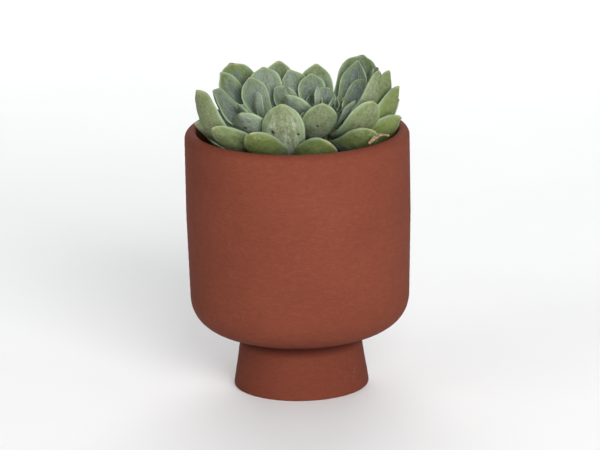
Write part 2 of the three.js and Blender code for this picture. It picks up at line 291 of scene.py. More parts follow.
def make_pot():
    profile = stepped(pot_profile(), POT_STEP, True)
    count = len(profile)
    points = []
    for side in range(POT_SIDES):
        angle = 2 * math.pi * side / POT_SIDES
        direction = Vector((math.cos(angle), math.sin(angle)))
        for radius, height in profile:
            turn = height / THROWING_PITCH + angle / (2 * math.pi)
            depth = 0.6 + 0.4 * noise.noise((2.1, 0.4, height * 0.09))
            rings = THROWING_RING * depth * math.sin(2 * math.pi * turn)
            lean = noise.noise((*(direction * 0.8), height * 0.012)) * OUT_OF_ROUND
            size = radius + (rings + lean if 2 < height < RIM_HEIGHT - 1 else 0)
            size = min(size, POT_RADIUS)
            points.append((direction.x * size, direction.y * size, height))
    faces = []
    for side in range(POT_SIDES):
        here, there = side * count, (side + 1) % POT_SIDES * count
        for k in range(count):
            step = (k + 1) % count
            faces.append((here + k, here + step, there + step, there + k))
    return new_piece("pot_body", points, faces, fired_clay(), "clay", "pot")


make_pot()

# --- Soil -----------------------------------------------------------------------------------
# A loose mix of peat, bark crumbs and a little pale grit. It fills the bowl to just under the
# lip, is heaped a little in the middle, and the stems are rooted in it.

SOIL_EDGE_HEIGHT = 124.0
SOIL_MIDDLE_HEIGHT = 127.0
SOIL_GAP = 0.3
SOIL_SIDES = 160
SOIL_RINGS = 44
SOIL_HEAP_SHARE = 0.6
SOIL_LUMP = 0.9
SOIL_CRUMB = 0.45
CRUMB_COUNT = 620
CRUMB_SIZE = (0.7, 2.3)
PEAT = (0.030, 0.020, 0.013)
BARK = (0.095, 0.052, 0.028)
GRIT = (0.30, 0.27, 0.22)


def soil_height(x, y):
    """The even height of the soil under its lumps, in millimetres."""
    out = min(1.0, math.hypot(x, y) / (POT_RADIUS - WALL))
    rise = SOIL_MIDDLE_HEIGHT - SOIL_EDGE_HEIGHT
    past_heap = max(0.0, (out - SOIL_HEAP_SHARE) / (1 - SOIL_HEAP_SHARE))
    return SOIL_EDGE_HEIGHT + rise * (1 - past_heap) - SOIL_LUMP


def potting_mix():
    """Dark moist peat with browner bark and a few pale grains. Only crumbs have a tint."""
    mix = Surface("potting_mix")
    lumps = mix.ramp(mix.grain(420, 5, 0.65), 0.35, 0.68)
    tint = mix.ramp(mix.value("crumb_tint"), 0.55, 0.95)
    colour = mix.blend(lumps, PEAT, BARK)
    colour = mix.blend(mix.sum("MULTIPLY", tint, 0.7), colour, BARK)
    colour = mix.blend(mix.ramp(mix.value("crumb_tint"), 0.955, 0.965), colour, GRIT)
    mix.feed(mix.shader.inputs["Base Color"], colour)
    mix.shader.inputs["Roughness"].default_value = 0.95
    mix.shader.inputs["Specular IOR Level"].default_value = 0.2
    mix.bump(mix.grain(2200, 4, 0.7), 0.0003)
    return mix.material


def tube_faces(rings, sides):
    """The faces of a tube of rings, each with its points counter-clockwise seen from its end."""
    faces = []
    for ring in range(rings - 1):
        here, there = ring * sides, (ring + 1) * sides
        for side in range(sides):
            step = (side + 1) % sides
            faces.append((here + side, here + step, there + step, there + side))
    return faces


def cap_faces(middle, first, sides, at_end):
    """A fan of faces that closes one end of a tube."""
    faces = []
    for side in range(sides):
        step = (side + 1) % sides
        pair = (first + side, first + step) if at_end else (first + step, first + side)
        faces.append((middle, *pair))
    return faces


def make_soil():
    wall = POT_RADIUS - WALL - SOIL_GAP
    outline = [(FLOOR_FLAT_RADIUS * 0.5, FLOOR_TOP + SOIL_GAP), *bowl_inside(SOIL_GAP)]
    outline = stepped([*outline, (wall, SOIL_EDGE_HEIGHT)], 6, False)
    top = [(wall * k / SOIL_RINGS, None) for k in range(SOIL_RINGS - 1, 0, -1)]
    rings = outline + top
    points = []
    for radius, height in rings:
        for side in range(SOIL_SIDES):
            angle = 2 * math.pi * side / SOIL_SIDES
            x, y = radius * math.cos(angle), radius * math.sin(angle)
            z = height
            if z is None:
                lump = noise.fractal((x * 0.16, y * 0.16, 3.7), 0.9, 2.1, 4)
                crumb = abs(noise.noise((x * 0.9, y * 0.9, 8.1)))
                z = soil_height(x, y) + SOIL_LUMP * lump + SOIL_CRUMB * crumb
            points.append((x, y, z))
    faces = tube_faces(len(rings), SOIL_SIDES)
    faces += cap_faces(len(points), 0, SOIL_SIDES, False)
    faces += cap_faces(len(points) + 1, len(points) - SOIL_SIDES, SOIL_SIDES, True)
    points += [(0, 0, FLOOR_TOP + SOIL_GAP), (0, 0, soil_height(0, 0))]
    mix = potting_mix()
    new_piece("soil_fill", points, faces, mix, "soil", "soil")
    make_crumbs(mix)


def make_crumbs(mix):
    """Loose crumbs of bark and grit on the soil, each a small knobbly pebble."""
    random = np.random.default_rng(41)
    pebble = bmesh.new()
    bmesh.ops.create_icosphere(pebble, subdivisions=2, radius=1)
    shape = [v.co.copy() for v in pebble.verts]
    skin = [[v.index for v in f.verts] for f in pebble.faces]
    pebble.free()
    points, faces, tints = [], [], []
    for _ in range(CRUMB_COUNT):
        angle = random.uniform(0, 2 * math.pi)
        out = (POT_RADIUS - WALL - 3) * math.sqrt(random.uniform(0, 1))
        size = random.uniform(*CRUMB_SIZE) * random.uniform(0.5, 1)
        stretch = Vector(random.uniform(0.55, 1.25, 3)) * size
        turn = Quaternion(Vector(random.normal(size=3)).normalized(), random.uniform(0, math.pi))
        x, y = out * math.cos(angle), out * math.sin(angle)
        middle = Vector((x, y, soil_height(x, y) + size * 0.25))
        seed = Vector(random.uniform(0, 50, 3))
        tint = random.uniform(0, 1)
        first = len(points)
        for corner in shape:
            knob = 1 + 0.35 * noise.noise(corner * 1.3 + seed)
            points.append(turn @ (corner * stretch * knob) + middle)
            tints.append(tint)
        faces += [[first + k for k in face] for face in skin]
    crumbs = new_piece("soil_crumbs", points, faces, mix, "soil")
    crumbs.data.attributes.new("crumb_tint", "FLOAT", "POINT").data.foreach_set("value", tints)


make_soil()

# --- Stems ----------------------------------------------------------------------------------
# Three short corky stems, one under each rosette. Each is rooted in the soil, leans outwards
# and is ringed with the scars of leaves that have dropped.

STEM_RADIUS = 4.2
STEM_ROOT_DEPTH = 16.0
STEM_STOP = 5.0
STEM_SIDES = 40
STEM_RINGS = 46
STEM_KNOB = 0.3
STEM_TAPER_START = 0.75
STEM_TAPER = 0.55
SCAR_PITCH = 2.6
SCAR_DEPTH = 0.35
CORK = (0.20, 0.155, 0.085)
CORK_DARK = (0.085, 0.060, 0.035)
CORK_GREEN = (0.19, 0.21, 0.10)

# Where each stem leaves the soil, where its growing point stands, and the heading of the
# youngest leaf there, in millimetres and degrees.
ROSETTES = {
    "left": ((-4, -8), (-18, -5, 152), 20),
    "middle": ((8, 0), (10, 4, 157), 150),
    "right": ((19, 0), (24, 0, 155), 250),
}


def stem_line(rosette):
    """The stem's foot on the soil, its growing point and its direction."""
    foot, crown, _ = ROSETTES[rosette]
    foot = Vector((*foot, SOIL_MIDDLE_HEIGHT))
    crown = Vector(crown)
    return foot, crown, (crown - foot).normalized()


def cork():
    """Tan corky bark, darker in patches and greener towards the leaves."""
    bark = Surface("cork")
    patches = bark.ramp(bark.grain(260, 5), 0.35, 0.65)
    colour = bark.blend(patches, CORK, CORK_DARK)
    colour = bark.blend(bark.ramp(bark.value("stem_height"), 0.5, 1, 0, 0.8), colour, CORK_GREEN)
    bark.feed(bark.shader.inputs["Base Color"], colour)
    bark.shader.inputs["Roughness"].default_value = 0.85
    bark.shader.inputs["Specular IOR Level"].default_value = 0.25
    bark.bump(bark.grain(900, 5, 0.7, (1, 1, 0.4)), 0.0004)
    return bark.material


def make_stem(rosette, corky_skin):
    foot, crown, axis = stem_line(rosette)
    root = foot - axis * STEM_ROOT_DEPTH
    length = (crown - root).length - STEM_STOP
    turn = Vector((0, 0, 1)).rotation_difference(axis)
    points, heights = [], []
    for ring in range(STEM_RINGS + 1):
        along = ring / STEM_RINGS
        for side in range(STEM_SIDES):
            angle = 2 * math.pi * side / STEM_SIDES
            scar = (along * length / SCAR_PITCH + 2 * side / STEM_SIDES) % 1
            dent = SCAR_DEPTH * math.exp(-((scar - 0.5) / 0.16) ** 2)
            place = (math.cos(angle) * 1.4, math.sin(angle) * 1.4, along * 7)
            knob = noise.noise(place) * STEM_KNOB
            narrowing = max(0.0, (along - STEM_TAPER_START) / (1 - STEM_TAPER_START))
            taper = 1 - STEM_TAPER * narrowing**2
            radius = (STEM_RADIUS - dent + knob - STEM_KNOB) * taper
            spot = Vector((radius * math.cos(angle), radius * math.sin(angle), along * length))
            points.append(turn @ spot + root)
            heights.append(along)
    faces = tube_faces(STEM_RINGS + 1, STEM_SIDES)
    points += [root, root + axis * length]
    heights += [0, 1]
    faces += cap_faces(len(points) - 2, 0, STEM_SIDES, False)
    faces += cap_faces(len(points) - 1, STEM_RINGS * STEM_SIDES, STEM_SIDES, True)
    name = f"{rosette}_stem"
    stem = new_piece(f"{name}_bark", points, faces, corky_skin, "stem", name)
    heights_kept = stem.data.attributes.new("stem_height", "FLOAT", "POINT")
    heights_kept.data.foreach_set("value", heights)


stem_bark = cork()
for rosette_name in ROSETTES:
    make_stem(rosette_name, stem_bark)

# --- Leaves ---------------------------------------------------------------------------------
# Thick, spoon-shaped water-storing leaves, set in a spiral up each stem. Each is flat to cupped
# on its upper face, keeled underneath, and ends in a small point. A powdery wax covers them: it
# is thickest on the young, blue-grey inner leaves and rubbed off the greener outer ones.

GAP = 0.15
FIRST_LEAF_DROP = 4.5
LEAF_SPACING = 1.4
LEAF_THICKNESS = 0.16
LEAF_BACK_SHARE = 0.82
LEAF_CUP = 0.09
LEAF_BOW = 0.13
LEAF_BASE_WIDTH = 0.58
LEAF_WIDEST_AT = 0.64
LEAF_TIP_FULLNESS = 2.2
LEAF_POINT = 1.5
LEAF_POINT_WIDTH = 3.6
LEAF_POINT_START = 0.84
LEAF_MARGIN = 1.4
LEAF_WAVE = 0.025
LEAF_SWELL = 0.38
LEAF_RIPPLE = 0.12
GROWN_WIDTH = 18.0
LEAF_STATIONS = 46
LEAF_SIDES = 40
LEAF_END = 0.9985
TIP_CROWDING = 1.6
KEEL = 0.22
KEEL_WIDTH = 0.22
PRESS_ROUNDS = 5
EASE_ROUNDS = 3

# A leaf is (heading in degrees, tip's reach from the growing point, tip's height over it,
# width, twist in degrees about its length, bow, fullness of its tip), listed from the growing
# point outwards. The last three may be left out.
LEAVES = {
    "left": [
        (215, 3, 11, 8, 40),
        (120, 12, 15, 18),
        (215, 15, 6, 13),
        (87, 20, 18, 18, 0, 0.13, 3.0),
        (240, 22.5, 4, 20, 20, 0.2),
        (204, 27, 14, 20, -32, 0.16),
        (151, 24, 18, 20, -10),
        (74, 33, 18.5, 20),
        (120, 32, 19, 25, 0, 0.13, 3.0),
        (206, 37, 16, 21.5, 22, 0.3, 2.8),
        (345, 22, 0, 16),
        (196, 36.5, -3, 15, 45),
        (135, 38, -6, 22),
        (229, 39, -1, 17.5, 40),
        (262, 42, -1, 19, 22),
        (290, 31, 10.5, 23, 0, 0.18),
        (105, 42, -4, 22),
        (168, 34, -10, 19),
        (315, 49.5, -9, 19, -42, 0.1, 2.8),
    ],
    "middle": [
        (286, 4, 6, 9, 35),
        (32, 9, 3, 13, 30),
        (103, 8, 10, 15),
        (225, 20, 4.6, 18.5, 10),
        (340, 10, 0, 12),
        (170, 21, 4, 15, -35),
        (141, 17, 11.5, 19, -20, 0.13, 1.9),
        (22, 12, -3, 13, 30, 0.13, 2.2),
        (87, 18, 12.5, 19),
        (125, 26, 2, 18),
        (50, 28, -4, 18),
        (277, 28, 3, 19.5, 0, 0.13, 1.9),
        (90, 44, -4, 22),
        (275, 44, -20, 18),
        (65, 42, -8, 20),
        (305, 46, -20, 19),
    ],
    "right": [
        (10, 12, 11, 12, 40),
        (42, 12, 19.5, 20, 5, 0.13, 1.5),
        (29, 22, 15.5, 13),
        (350, 20, 17, 16, -37, 0.26, 2.0),
        (62, 25, 19, 24, 0, 0.13, 2.8),
        (8, 25, 15, 20, -45, 0.26, 2.0),
        (307, 11, 2.5, 14),
        (353, 29.5, 8.5, 21, -30, 0.25, 2.0),
        (53, 35, 4, 18),
        (300, 30, 6.5, 20, -10, 0.18),
        (26, 33, -3, 17, 0, 0.2),
        (75, 45, -6, 22),
        (341, 31.5, -6, 19, -42, 0.18),
        (295, 37, -7, 18, -30),
        (4, 31, -10, 15),
        (325, 31, -16, 15),
    ],
}

WAX_BLUE = (0.180, 0.234, 0.226)
# A darker wax for the streaks, also used as painted shade on the upper faces.
WAX_DARK_AND_PAINTED_SHADE = (0.083, 0.119, 0.091)
WAX_PALE = (0.392, 0.426, 0.322)
NECK_GREY = (0.172, 0.212, 0.198)
YOUNG_GREY = (0.205, 0.262, 0.240)
GREEN = (0.128, 0.160, 0.068)
GREEN_YELLOW = (0.132, 0.172, 0.036)
OLIVE = (0.072, 0.092, 0.034)
FOOT_SHADE = (0.060, 0.072, 0.045)
RIM_GREEN = (0.212, 0.288, 0.138)
MARGIN = (0.345, 0.440, 0.300)
TIP = (0.385, 0.390, 0.205)
BLEMISH = (0.122, 0.096, 0.052)
SCAR = (0.022, 0.019, 0.012)

# How far a leaf's bloom is rubbed pale and how far it has yellowed, from 0 to 1, where a leaf
# differs from its neighbours. A leaf that is still young and bluish is below 0.
# A pale value under 0.35 also darkens the leaf's upper face as painted shade.
FINISHES = {
    "left_leaf_05": (0.5, -0.6),
    "left_leaf_06": (0.4, -0.3),
    "left_leaf_07": (0.2, 0.7),
    "left_leaf_08": (0.2, 0.5),
    "left_leaf_09": (0.2, 1.0),
    "left_leaf_10": (0.0, 0.25),
    "left_leaf_14": (0.0, 0.45),
    "left_leaf_15": (0.0, 0.9),
    "left_leaf_16": (1.0, 0.1),
    "left_leaf_19": (0.0, 1.0),
    "middle_leaf_03": (0.0, 0.0),
    "middle_leaf_04": (0.5, -0.6),
    "middle_leaf_09": (0.2, 0.5),
    "middle_leaf_12": (0.4, 0.2),
    "right_leaf_02": (0.4, -0.3),
    "right_leaf_04": (0.3, 0.1),
    "right_leaf_05": (0.2, 0.9),
    "right_leaf_06": (0.0, 0.4),
    "right_leaf_07": (0.2, -0.6),
    "right_leaf_08": (0.0, 0.8),
    "right_leaf_10": (0.4, 0.5),
    "right_leaf_13": (0.0, 1.0),
    "right_leaf_14": (0.1, 0.8),
}

# Small corky dents on the underside of a leaf: place along it, place across it from -1 to 1, and
# size in millimetres.
SCARS = {
    "left_leaf_05": [(0.74, 0.1, 1.0)],
    "left_leaf_16": [(0.68, 0.46, 1.1), (0.64, -0.70, 0.8), (0.84, 0.05, 0.5)],
    "middle_leaf_12": [(0.62, 0.14, 0.7), (0.48, -0.34, 0.5)],
}
SCAR_DENT = 0.5


class Leaf:
    """One leaf's place and form, and the grid of points of its skin."""

    def __init__(self, rosette, entry, drop, scars=()):
        heading, reach, height, self.width = entry[:4]
        usual = (0, LEAF_BOW, LEAF_TIP_FULLNESS)
        twist, self.bow, self.fullness = (*entry[4:], *usual[len(entry) - 4 :])
        _, crown, axis = stem_line(rosette)
        angle = math.radians(heading)
        outwards = Vector((math.cos(angle), math.sin(angle), 0))
        tip = crown + outwards * reach + Vector((0, 0, height))
        self.base = crown - axis * drop + outwards * (STEM_RADIUS * 0.5)
        chord = tip - self.base
        self.length = chord.length
        self.chord = chord.normalized()
        side = self.chord.cross(Vector((0, 0, 1))).normalized()
        self.side = Quaternion(self.chord, math.radians(twist)) @ side
        self.face = self.side.cross(self.chord)
        self.scars = scars

    def spine(self, along):
        sag = 4 * self.bow * self.length * along * (1 - along)
        return self.base + self.chord * (self.length * along) - self.face * sag

    def scar(self, along, half_width, across):
        """How deep in a scar a place on the underside is, from 0 to 1."""
        depth = 0.0
        for at, beside, size in self.scars:
            far = math.hypot((along - at) * self.length, (across - beside) * half_width)
            depth = max(depth, math.exp(-((far / size) ** 2)))
        return depth


def leaf_outline(along, fullness):
    """Half width along the leaf, as a share of its widest."""
    if along < LEAF_WIDEST_AT:
        rise = math.sin(math.pi / 2 * along / LEAF_WIDEST_AT)
        return LEAF_BASE_WIDTH + (1 - LEAF_BASE_WIDTH) * rise
    past = (along - LEAF_WIDEST_AT) / (1 - LEAF_WIDEST_AT)
    return (1 - min(1, past) ** fullness) ** (1 / fullness)


def leaf_grid(leaf, seed):
    """Rings of points from the leaf's foot to its tip, and how each point lies on the leaf."""
    # Rings crowd together towards the round tip.
    shares = [1 - (1 - k / (LEAF_STATIONS - 1)) ** TIP_CROWDING for k in range(LEAF_STATIONS)]
    points = np.zeros((LEAF_STATIONS, LEAF_SIDES, 3))
    marks = np.zeros((LEAF_STATIONS, LEAF_SIDES, 5))
    grown = min(1, leaf.width / GROWN_WIDTH)
    margin, point_length = LEAF_MARGIN * grown, LEAF_POINT * grown * grown
    for row, share in enumerate(shares):
        along = share * LEAF_END
        outline = leaf_outline(along, leaf.fullness)
        slope = -4 * leaf.bow * (1 - 2 * along)
        normal = (leaf.face - leaf.chord * slope).normalized()
        wave = 1 + LEAF_WAVE * noise.noise((along * 3.2, seed * 7.7, 0.5))
        half_width = leaf.width / 2 * outline * wave
        thickness = leaf.width * LEAF_THICKNESS * (1.15 - 0.75 * along * along)
        thickness *= min(1, outline * 1.6)
        centre = leaf.spine(along)
        drift = noise.noise((along * 2.2, 4.4, seed * 3.1)) * LEAF_WAVE * leaf.width
        towards_tip = max(0, along - LEAF_POINT_START) / (1 - LEAF_POINT_START)
        for column in range(LEAF_SIDES):
            angle = 2 * math.pi * column / LEAF_SIDES
            across, rise = math.cos(angle), math.sin(angle)
            cup = LEAF_CUP * leaf.width * outline * across * across
            if rise < 0:
                keel = 1 + KEEL * math.exp(-((across / KEEL_WIDTH) ** 2)) * along * along
                lift = -thickness * LEAF_BACK_SHARE * abs(rise) ** 0.75 * keel
            else:
                lift = thickness * (1 - LEAF_BACK_SHARE) * rise
            spot = centre + leaf.side * (half_width * across + drift) + normal * (cup + lift)
            swell = noise.noise(spot * 0.2 + Vector((seed, 0, 0))) * LEAF_SWELL
            swell += noise.noise(spot * 0.55 + Vector((0, seed, 0))) * LEAF_RIPPLE
            point = towards_tip * math.exp(-((half_width * across / LEAF_POINT_WIDTH) ** 2))
            spot += normal * swell + leaf.chord * (point_length * point * point)
            scar = leaf.scar(along, half_width, across) if rise < 0 else 0.0
            points[row, column] = spot + normal * (SCAR_DENT * scar)
            edge = math.exp(-half_width * (1 - abs(across)) / margin)
            marks[row, column] = (along, across, edge, 0.5 + 0.5 * rise, scar)
    return points, marks


def eased(moves):
    """Moves of neighbouring points, evened out over the skin."""
    for _ in range(EASE_ROUNDS):
        along = np.concatenate([moves[:1], moves, moves[-1:]])
        around = np.roll(moves, 1, 1) + np.roll(moves, -1, 1)
        moves = (along[:-2] + along[2:] + around + 2 * moves) / 6
    return moves


def pressed(points, placed):
    """The leaf's points, moved as one bent sheet out of the leaves that are already placed."""
    middle = Vector(points.reshape(-1, 3).mean(0))
    low, high = points.reshape(-1, 3).min(0), points.reshape(-1, 3).max(0)
    near = [other for other in placed if (other.low < high).all() and (other.high > low).all()]
    mirror = (-np.arange(LEAF_SIDES)) % LEAF_SIDES
    for press_round in range(PRESS_ROUNDS):
        moves = np.zeros_like(points)
        for other in near:
            below = (middle - other.middle).dot(other.face) < 0
            away = -other.face if below else other.face
            for spot in np.ndindex(points.shape[:2]):
                here = Vector(points[spot])
                if not other.holds(here):
                    continue
                way_out = other.tree.ray_cast(here, away)[0]
                if way_out is not None:
                    move = way_out + away * GAP - here
                    if move.length > np.linalg.norm(moves[spot]):
                        moves[spot] = move
        if not moves.any():
            break
        paired = moves[:, mirror]
        larger = np.linalg.norm(paired, axis=2) > np.linalg.norm(moves, axis=2)
        moves[larger] = paired[larger]
        points = points + (moves if press_round == PRESS_ROUNDS - 1 else eased(moves))
    return points


def kept_in(points):
    """Points moved above the soil, inside the pot's wall and over its lip."""
    wall = POT_RADIUS - WALL - GAP
    moved = points.copy()
    for spot in np.ndindex(points.shape[:2]):
        x, y, z = moved[spot]
        out = math.hypot(x, y)
        lip = RIM_HEIGHT + GAP
        if out > wall and z < lip:
            if lip - z < out - wall:
                z = lip
            else:
                x, y = x * wall / out, y * wall / out
        z = max(z, soil_height(x, y) + SOIL_LUMP * 0.5)
        moved[spot] = (x, y, z)
    return moved


class Placed:
    """A leaf that is in place, ready to be asked whether a point is inside it."""

    def __init__(self, points, faces, face):
        self.tree = BVHTree.FromPolygons([Vector(p) for p in points], faces)
        self.low, self.high = points.min(0), points.max(0)
        self.low_reach = Vector(self.low).length_squared
        self.middle = Vector(points.mean(0))
        self.face = face

    def holds(self, here):
        # A point nearer the middle of the pot's base than this leaf's low corner counts as
        # outside: it lies low among the stems.
        if here.length_squared < self.low_reach:
            return False
        if not all(a < h < b for a, h, b in zip(self.low, here, self.high)):
            return False
        nearest, normal, _, _ = self.tree.find_nearest(here)
        return (here - nearest).dot(normal) < 0


def underside(skin, grain, finish):
    """Bluish at the foot, green to yellow-green near the tip, rubbed pale between."""
    pale, yellow = finish
    green = skin.blend(skin.ramp(yellow, 0, 1), GREEN, GREEN_YELLOW)
    under = skin.blend(skin.ramp(yellow, -0.6, 0, 1, 0), green, YOUNG_GREY)
    under = skin.blend(skin.ramp(grain["cloudy"], 0.1, 0.55), NECK_GREY, under)
    bloom = skin.ramp(grain["streaks"], 0.38, 0.6, 0.15, 1)
    bloom = skin.sum("MULTIPLY", bloom, skin.ramp(pale, 0, 1, 0.05, 0.95))
    bloom = skin.sum("MULTIPLY", bloom, skin.ramp(grain["cloudy"], 0.75, 1.1, 1, 0.25))
    under = skin.blend(bloom, under, WAX_PALE)
    worn = skin.ramp(grain["cloudy"], 0.45, 0.85, 0.1, 0.9)
    worn = skin.sum("MULTIPLY", worn, skin.ramp(grain["arcs"], 0.46, 0.64))
    under = skin.blend(worn, under, GREEN_YELLOW)
    stained = skin.sum("MULTIPLY", skin.ramp(grain["patches"], 0.52, 0.7, 0, 0.4), grain["aged"])
    return skin.blend(stained, under, OLIVE)


def upper_face(skin, grain, finish):
    """Whole blue-grey bloom with a greener zone towards the tip, and painted shade."""
    pale, yellow = finish
    over = skin.blend(skin.ramp(grain["streaks"], 0.4, 0.56), WAX_DARK_AND_PAINTED_SHADE, WAX_BLUE)
    # Painted shade: the upper face darkens towards the leaf's foot, deep in the rosette.
    over = skin.blend(skin.ramp(grain["cloudy"], 0.3, 0.9, 0.8, 0), over, WAX_DARK_AND_PAINTED_SHADE)
    # Painted shade over the whole upper face of a leaf whose pale value is low.
    over = skin.blend(skin.ramp(pale, 0, 0.35, 0.6, 0), over, WAX_DARK_AND_PAINTED_SHADE)
    green = skin.blend(skin.ramp(yellow, 0, 1), GREEN, GREEN_YELLOW)
    return skin.blend(skin.ramp(grain["cloudy"], 0.66, 1.08, 0, 0.85), over, green)


def weathered(skin, colour, grain, place):
    """The colour with fine scratches, dust, specks, blemishes and scars."""
    off_line = skin.apart(skin.grain(150, 2, 0.5, place=place), 0.5)
    scratch = skin.sum("MULTIPLY", skin.ramp(off_line, 0.0, 0.012, 0.45, 0), grain["dusty"])
    colour = skin.blend(scratch, colour, WAX_PALE)
    dust = skin.sum("MULTIPLY", skin.ramp(grain["dust"], 0.35, 0.65, 0, 0.24), grain["powdery"])
    colour = skin.blend(dust, colour, WAX_PALE)
    specks = skin.ramp(grain["fine"], 0.52, 0.36, 0, 0.55)
    colour = skin.blend(skin.sum("MULTIPLY", specks, grain["aged"]), colour, OLIVE)
    spots = skin.ramp(skin.grain(420, 2, 0.5, place=place), 0.74, 0.8, 0, 0.7)
    colour = skin.blend(spots, colour, BLEMISH)
    return skin.blend(skin.ramp(skin.value("leaf_scar"), 0.3, 0.6), colour, SCAR)


def edged(skin, colour, grain, upper, pale):
    """The colour with a green rim and a pale clear margin, most on the upper face."""
    clear = skin.ramp(upper, 0.35, 0.6, 0.25, 1)
    clear = skin.sum("MAXIMUM", clear, skin.ramp(pale, 0.2, 0.5, 0, 0.9))
    ragged = skin.ramp(grain["streaks"], 0.3, 0.7, -0.16, 0.16)
    ragged = skin.sum("ADD", ragged, skin.value("leaf_edge"))
    rim = skin.sum("MULTIPLY", skin.ramp(ragged, 0.0, 0.42, 0, 0.75), clear)
    colour = skin.blend(rim, colour, RIM_GREEN)
    margin = skin.ramp(ragged, 0.4, 0.9, 0, 0.85)
    margin = skin.sum("MULTIPLY", margin, skin.ramp(clear, 0.2, 1, 0.4, 1))
    return skin.blend(margin, colour, MARGIN)


def leaf_skin():
    """Waxy green skin with a powdery bloom, a pale clear margin and a yellowish tip."""
    skin = Surface("leaf_skin")
    along, across, upper = (skin.value(f"leaf_{name}") for name in ("along", "across", "upper"))
    pale, yellow, luck = (skin.value(f"leaf_{name}") for name in ("pale", "yellow", "luck"))
    shifted = skin.node("ShaderNodeVectorMath", operation="ADD")
    skin.feed(shifted.inputs[0], skin.place)
    skin.feed(shifted.inputs[1], luck)
    place = shifted.outputs["Vector"]
    # Places on the leaf: along it, bent to follow the round of the tip, then across it.
    on_leaf = skin.node("ShaderNodeCombineXYZ")
    curved = skin.sum("MULTIPLY", skin.sum("MULTIPLY", across, across), 0.22)
    skin.feed(on_leaf.inputs["X"], skin.sum("ADD", along, curved))
    skin.feed(on_leaf.inputs["Y"], across)
    skin.feed(on_leaf.inputs["Z"], skin.sum("MULTIPLY", luck, 9.0))
    patches = skin.grain(130, 5, 0.62, place=place)
    dust = skin.grain(1100, 4, 0.7, place=place)
    grain = {
        "patches": patches,
        "dust": dust,
        "dusty": skin.ramp(dust, 0.4, 0.6),
        "streaks": skin.grain(1.0, 6, 0.75, (6, 6, 1), place=on_leaf.outputs["Vector"]),
        "arcs": skin.grain(1.0, 5, 0.65, (22, 3.5, 1), place=on_leaf.outputs["Vector"]),
        "cloudy": skin.sum("ADD", along, skin.ramp(patches, 0.3, 0.7, -0.22, 0.22)),
        "fine": skin.grain(520, 5, 0.75, place=place),
        "aged": skin.ramp(yellow, -0.6, 0.1, 0.25, 1),
        "powdery": skin.ramp(yellow, 0.1, 0.9, 1, 0.3),
    }
    under = underside(skin, grain, (pale, yellow))
    over = upper_face(skin, grain, (pale, yellow))
    colour = skin.blend(skin.ramp(upper, 0.42, 0.6), under, over)
    # Painted shade: each leaf is darkened towards its foot, where the leaves crowd together.
    colour = skin.blend(skin.ramp(along, 0.05, 0.4, 0.5, 0), colour, FOOT_SHADE)
    colour = weathered(skin, colour, grain, place)
    colour = edged(skin, colour, grain, upper, pale)
    colour = skin.blend(skin.ramp(along, 0.965, 1.0, 0, 0.6), colour, TIP)
    skin.feed(skin.shader.inputs["Base Color"], colour)
    skin.feed(skin.shader.inputs["Roughness"], skin.ramp(dust, 0.3, 0.7, 0.55, 0.72))
    skin.shader.inputs["Specular IOR Level"].default_value = 0.32
    skin.shader.inputs["Subsurface Weight"].default_value = 0.12
    skin.shader.inputs["Subsurface Radius"].default_value = (0.6, 1.0, 0.3)
    skin.shader.inputs["Subsurface Scale"].default_value = 0.002
    skin.bump(grain["streaks"], 0.0003)
    skin.bump(grain["fine"], 0.0003)
    skin.bump(dust, 0.00008)
    return skin.material


def leaf_faces():
    """The faces of a leaf's rings, and of the fans that close its foot and its tip."""
    faces = tube_faces(LEAF_STATIONS, LEAF_SIDES)
    count = LEAF_STATIONS * LEAF_SIDES
    faces += cap_faces(count, 0, LEAF_SIDES, False)
    return faces + cap_faces(count + 1, count - LEAF_SIDES, LEAF_SIDES, True)


LEAF_FACES = leaf_faces()


def leaf_points(leaf, seed, placed):
    """All the points of a leaf in its place, with the marks that its finish needs."""
    grid, marks = leaf_grid(leaf, seed)
    grid = kept_in(pressed(grid, placed))
    ends = [grid[0].mean(0), grid[-1].mean(0)]
    points = np.concatenate([grid.reshape(-1, 3), ends])
    end_marks = [(0, 0, 0, 0.5, 0), (1, 0, 1, 0.5, 0)]
    marks = np.concatenate([marks.reshape(-1, len(end_marks[0])), end_marks])
    return points, marks


# What is kept at each point of a leaf for its finish: how it lies on the leaf, then the leaf's own.
LEAF_MARKS = (
    "leaf_along",
    "leaf_across",
    "leaf_edge",
    "leaf_upper",
    "leaf_scar",
    "leaf_luck",
    "leaf_pale",
    "leaf_yellow",
)


def add_leaf_piece(name, node, skins, finish, skin_finish):
    """One piece from one or more leaf skins, each given as its points, its marks and its luck."""
    points = np.concatenate([skin[0] for skin in skins])
    marks = np.concatenate([skin[1] for skin in skins])
    lucks = np.concatenate([[luck] * len(grid) for grid, _, luck in skins])
    faces = []
    first = 0
    for grid, *_ in skins:
        faces += [tuple(first + k for k in face) for face in LEAF_FACES]
        first += len(grid)
    piece = new_piece(name, points, faces, skin_finish, "leaf", node)
    whole = [np.full(len(points), value) for value in finish]
    for key, value in zip(LEAF_MARKS, (*marks.T, lucks, *whole)):
        kept = piece.data.attributes.new(key, "FLOAT", "POINT")
        kept.data.foreach_set("value", value.astype(np.float32))


HEART_LEAVES = 5
HEART_TURN = 137.5
HEART_HEIGHT = 2.0
HEART_WIDTH = 4.6
HEART_GROWTH = 0.7
HEART_REACH = 0.8
HEART_DROOP = 0.2
HEART_BOW = 0.2
HEART_FINISH = (0.5, 0.1)


